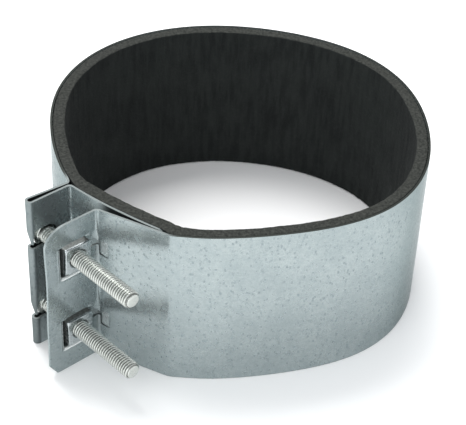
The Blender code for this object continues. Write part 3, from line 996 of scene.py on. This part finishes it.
def make_foam():
    path = foam_outer_path()
    arcs = np.arange(0.0, path.length, FOAM_STEP)
    # rounds the joints between the runs by about a millimetre
    outer = softened(path.at(arcs)[0], 3)
    along = np.roll(outer, -1, 0) - np.roll(outer, 1, 0)
    along /= np.linalg.norm(along, axis=1)[:, None]
    # the inner face is smoother than the outer, as a thick soft strip bends gently
    inward = softened(np.stack([-along[:, 1], along[:, 0]], 1), 24)
    inward /= np.linalg.norm(inward, axis=1)[:, None]
    rows = [foam_section(*station) for station in zip(arcs, outer, inward)]
    foam = rings_object("foam_ring", rows, RUBBER, capped=False, sharp=55)
    add_attribute(foam.data, "flat",
                  [(arc * MM, point[2] * MM, 0.0) for arc, row in zip(arcs, rows) for point in row])
    return foam


foam_ring = make_foam()

# ---------------------------------------------------------------- bolts
# From the seat outwards over the head: x from the seat, radius
NECK_AND_RIM = ((0.5, 2.9), (0.2, 3.0), (0.04, 3.18), (0.0, 3.3), (0.0, 4.2), (-0.05, 4.38),
                (-0.16, 4.45))
HEAD_TOP = ((-1.95, 4.40), (-2.2, 4.25), (-2.34, 4.05), (-2.4, 3.8), (-2.4, 2.75))


def screw_thread(phase):
    """Radius of the thread at a phase of one turn, 0 at the crest's middle."""
    away = abs(((phase + 0.5) % 1.0) - 0.5)
    if away < 0.07:
        return THREAD_MAJOR
    if away > 0.42:
        return THREAD_MINOR
    return THREAD_MAJOR + (THREAD_MINOR - THREAD_MAJOR) * (away - 0.07) / 0.35


def hexagon(angle, size):
    """Radius of a hexagon of the given width across flats."""
    from_flat = ((angle + math.pi / 6) % (math.pi / 3)) - math.pi / 6
    return size / 2 / math.cos(from_flat)


def make_bolt(name, bolt_z, turn):
    """Rings from the tip to the bottom of the hexagon socket."""
    tip = HEAD_SEAT_X + BOLT_LENGTH
    angles = [2 * math.pi * i / 48 for i in range(48)]
    rings = []

    def ring_at(x, radius):
        radii = [radius(angle) if callable(radius) else radius for angle in angles]
        rings.append([(x, BOLT_Y + r * math.cos(angle), bolt_z + r * math.sin(angle))
                      for r, angle in zip(radii, angles)])

    for back, radius in ((0.0, 0.9), (0.0, 1.9), (0.02, 2.12), (0.10, 2.25)):
        ring_at(tip - back, radius)
    thread_start = tip - 0.16
    for k in range(int((BOLT_LENGTH - 1.3) * 12) + 1):
        x = thread_start - k / 12.0
        point_limit = 2.30 + (thread_start - x) * 0.95
        near_head = x - (HEAD_SEAT_X + 1.0)

        def thread_radius(angle):
            radius = min(screw_thread(x + angle / (2 * math.pi) + turn), point_limit)
            if near_head < 1.0:
                radius = max(radius, 2.7 + (1 - max(near_head, 0.0)) * 0.15)
            return radius
        ring_at(x, thread_radius)
    for x, radius in NECK_AND_RIM:
        ring_at(HEAD_SEAT_X + x, radius)
    for k in range(13):          # straight knurl round the head
        ring_at(HEAD_SEAT_X - 0.22 - 1.5 * k / 12,
                lambda angle: 4.46 - 0.05 * (0.5 + 0.5 * math.cos(angle * 24)))
    for x, radius in HEAD_TOP:
        ring_at(HEAD_SEAT_X + x, radius)
    ring_at(HEAD_SEAT_X - 2.36, lambda angle: min(2.55, hexagon(angle, 4.25) + 0.1))
    for x, size in ((-2.22, 4.04), (-0.9, 4.0), (-0.78, 3.8)):
        ring_at(HEAD_SEAT_X + x, lambda angle: hexagon(angle, size))
    ring_at(HEAD_SEAT_X - 0.45, 0.9)
    ring_at(HEAD_SEAT_X - 0.35, 0.2)
    screw = rings_object(name, rings, BOLT_ZINC, capped=True, sharp=34)

    # painted shade, with oil, in the thread's hollows, the deeper the darker
    def painted_shade_and_oil(x, y, z):
        if not HEAD_SEAT_X + 1.2 < x < tip - 0.2:
            return 0.0
        depth = THREAD_MAJOR - math.hypot(y - BOLT_Y, z - bolt_z)
        return min(1.0, max(0.0, depth / (THREAD_MAJOR - THREAD_MINOR)))

    # the last two are the middles of both ends
    add_attribute(screw.data, "painted_shade_and_oil",
                  [painted_shade_and_oil(*point) for ring in rings for point in ring] + [0.0, 0.0])
    return screw


screws = [make_bolt("screw_upper", BOLT_Z[0], 0.13), make_bolt("screw_lower", BOLT_Z[1], 0.61)]

# ---------------------------------------------------------------- square nuts
NUT_BACK_X = NUT_FACE_X - NUT_THICK
# Rings: x, how far inside the square outline, largest radius
NUT_BODY = (
    (NUT_BACK_X + 0.45, 0.0, NUT_BORE), (NUT_BACK_X, 0.0, NUT_BORE + 0.42),
    (NUT_BACK_X, 0.32, math.inf), (NUT_BACK_X + 0.10, 0.10, math.inf),
    (NUT_BACK_X + 0.32, 0.0, math.inf),
    *((NUT_FACE_X - drop, 0.0, math.inf) for drop in (3.2, 2.2, 1.5, 1.3, 1.1, 0.7)))
# the same, lowered further by the chamfer over the corners
NUT_CHAMFERED = (
    (NUT_FACE_X - 0.24, 0.0, math.inf), (NUT_FACE_X - 0.10, 0.04, math.inf),
    (NUT_FACE_X - 0.02, 0.13, math.inf), (NUT_FACE_X, 0.26, math.inf), (NUT_FACE_X, 0.5, 6.1),
    (NUT_FACE_X, 0.9, 4.9), (NUT_FACE_X, 0.0, 3.62), (NUT_FACE_X - 0.06, 0.0, 3.50),
    (NUT_FACE_X - 0.42, 0.0, NUT_BORE))


def square(angle):
    """Radius of the nut's outline, a square with slightly rounded corners."""
    from_flat = ((angle + math.pi / 4) % (math.pi / 2)) - math.pi / 4
    straight = NUT_HALF - NUT_CORNER
    if abs(from_flat) <= math.atan2(straight, NUT_HALF):
        return NUT_HALF / math.cos(from_flat)
    reach = math.sqrt(2) * straight
    off = abs(abs(from_flat) - math.pi / 4)
    return reach * math.cos(off) + math.sqrt(max(NUT_CORNER ** 2 - (reach * math.sin(off)) ** 2, 0))


def make_nut(name, bolt_z, roll):
    angles = [side * math.pi / 2 + math.atan(-1 + 2 * (k + 0.5) / 24)
              for side in range(4) for k in range(24)]
    rings = []
    for table, slope in ((NUT_BODY, 0.0), (NUT_CHAMFERED, math.tan(math.radians(30)))):
        for x, inset, largest in table:
            ring = []
            for angle in angles:
                radius = min(largest, square(angle) - inset)
                ring.append((x - max(0.0, radius - 6.2) * slope,
                             BOLT_Y + radius * math.cos(angle + roll),
                             bolt_z + radius * math.sin(angle + roll)))
            rings.append(ring)
    nut = rings_object(name, rings, NUT_ZINC, capped=False, sharp=26)

    def painted_shade_and_oil(x, y, z):
        """Painted shade in the bore and on the sides, highest up the upper side, which the window's
        edge shades.
        """
        radius = math.hypot(y - BOLT_Y, z - bolt_z)
        drop = NUT_FACE_X - x
        side = float(smooth(1.1, 1.5, drop)) * 0.95 if radius > 4.5 else 0.0
        if z - bolt_z > 4.6:
            side = max(side, 0.95 * float(smooth(0.5, 1.15, drop)))
        return side if radius > 3.4 else 1.0

    add_attribute(nut.data, "painted_shade_and_oil", [painted_shade_and_oil(*point) for ring in rings for point in ring])
    return nut


nuts = [make_nut("square_nut_upper", BOLT_Z[0], math.radians(-1.5)),
        make_nut("square_nut_lower", BOLT_Z[1], math.radians(1.0))]


# ---------------------------------------------------------------- what each piece rides on
def blend(piece, start, end, *replaced):
    """Bakes the piece's transform and hides the CAD parts it stands in for; the span from start to
    end at mid height is worked out but not used.
    """
    start, end = place([(*start, 30.0), (*end, 30.0)])
    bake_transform(piece)
    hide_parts(*replaced)


hinge, across = np.array(HINGE), np.array(HINGE_ACROSS)
closure_span = ((-5.0, -60.0), (33.0, -60.0))
blend(clamp_band, hinge - 4.5 * across, hinge + 5.5 * across, "band_rear", "band_front")
blend(closure_tongue, *closure_span, "band_tongue")
blend(foam_ring, *closure_span, "foam_liner_rear", "foam_liner_front", "foam_liner_closure")
for screw, nut, label in zip(screws, nuts, ("upper", "lower")):
    for piece, kind in ((screw, "bolt"), (nut, "nut")):
        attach(piece, f"{kind}_{label}")
        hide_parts(f"{kind}_{label}")


# ---------------------------------------------------------------- floor, world, camera, lights
def make_floor(half=6.0):
    mesh = bpy.data.meshes.new("floor")
    mesh.from_pydata([(-half, -half, 0), (half, -half, 0), (half, half, 0), (-half, half, 0)],
                     [], [(0, 1, 2, 3)])
    mat = Nodes("floor_paper")
    cloud = mat.noise(mat.object_coords(), scale=3.0)
    mat.set("Base Color", mat.mix(mat.ramp(cloud, span=(0.3, 0.7)),
                                  (0.93, 0.93, 0.935), (0.945, 0.945, 0.945)))
    mat.set("Roughness", 0.9)
    mat.set("Specular IOR Level", 0.1)
    mesh.materials.append(mat.material)
    floor = bpy.data.objects.new("floor", mesh)
    floor.location.z = -0.0001
    bpy.context.scene.collection.objects.link(floor)


def make_world():
    world = bpy.data.worlds.new("studio")
    bpy.context.scene.world = world
    world.use_nodes = True
    background = world.node_tree.nodes["Background"]
    background.inputs["Color"].default_value = (0.97, 0.985, 1.0, 1.0)
    background.inputs["Strength"].default_value = 0.84


AZIMUTH = math.radians(41.0)
PITCH, ROLL = 0.66582, 0.10316   # radians
EYE = (37.84, -432.17, 350.59)   # before the turn by the azimuth


def turned(x, y, z):
    """Turned about Z by the camera's azimuth."""
    return Vector((x * math.cos(AZIMUTH) - y * math.sin(AZIMUTH),
                   x * math.sin(AZIMUTH) + y * math.cos(AZIMUTH), z))


right = turned(1, 0, 0)
up = turned(0, math.sin(PITCH), math.cos(PITCH))
forward = turned(0, math.cos(PITCH), -math.sin(PITCH))


def make_camera():
    data = bpy.data.cameras.new("camera")
    data.sensor_fit = "HORIZONTAL"
    data.sensor_width = 36.0
    data.lens = 115.728412
    data.shift_x = -0.221695279
    data.shift_y = 0.0677682403
    data.clip_start, data.clip_end = 0.01, 30.0
    camera = bpy.data.objects.new("camera", data)
    rolled_right = right * math.cos(ROLL) + up * math.sin(ROLL)
    rolled_up = up * math.cos(ROLL) - right * math.sin(ROLL)
    basis = Matrix((rolled_right, rolled_up, -forward)).transposed().to_4x4()
    eye = Vector(tuple(place([tuple(turned(*EYE))])[0]))
    camera.matrix_world = Matrix.Translation(eye) @ basis
    bpy.context.scene.collection.objects.link(camera)
    bpy.context.scene.camera = camera


def area_light(name, left, ahead, height, size, power, colour):
    """Square light aimed at the clamp, placed from it as the camera sees it, in metres."""
    centre = Vector((0.0, 0.0, 0.03))
    flat_forward = Vector((forward.x, forward.y, 0)).normalized()
    position = centre + (-right) * left + flat_forward * ahead + Vector((0, 0, height))
    light = bpy.data.lights.new(name, "AREA")
    light.shape = "RECTANGLE"
    light.size = light.size_y = size
    light.energy = power
    light.color = colour
    obj = bpy.data.objects.new(name, light)
    obj.location = position
    obj.rotation_euler = (centre - position).to_track_quat("-Z", "Y").to_euler()
    bpy.context.scene.collection.objects.link(obj)


make_floor()
make_world()
make_camera()
# a large soft light high beyond the clamp and a weak one on the camera's side, both to its left;
# nothing stands where level faces mirror it
area_light("key", left=0.30, ahead=0.50, height=1.15, size=0.75, power=17.0,
           colour=(1.0, 0.995, 0.985))
area_light("fill", left=0.22, ahead=-0.90, height=0.52, size=1.1, power=6.0,
           colour=(0.96, 0.985, 1.0))

bpy.context.scene.view_settings.view_transform = "Standard"
bpy.context.scene.view_settings.look = "None"
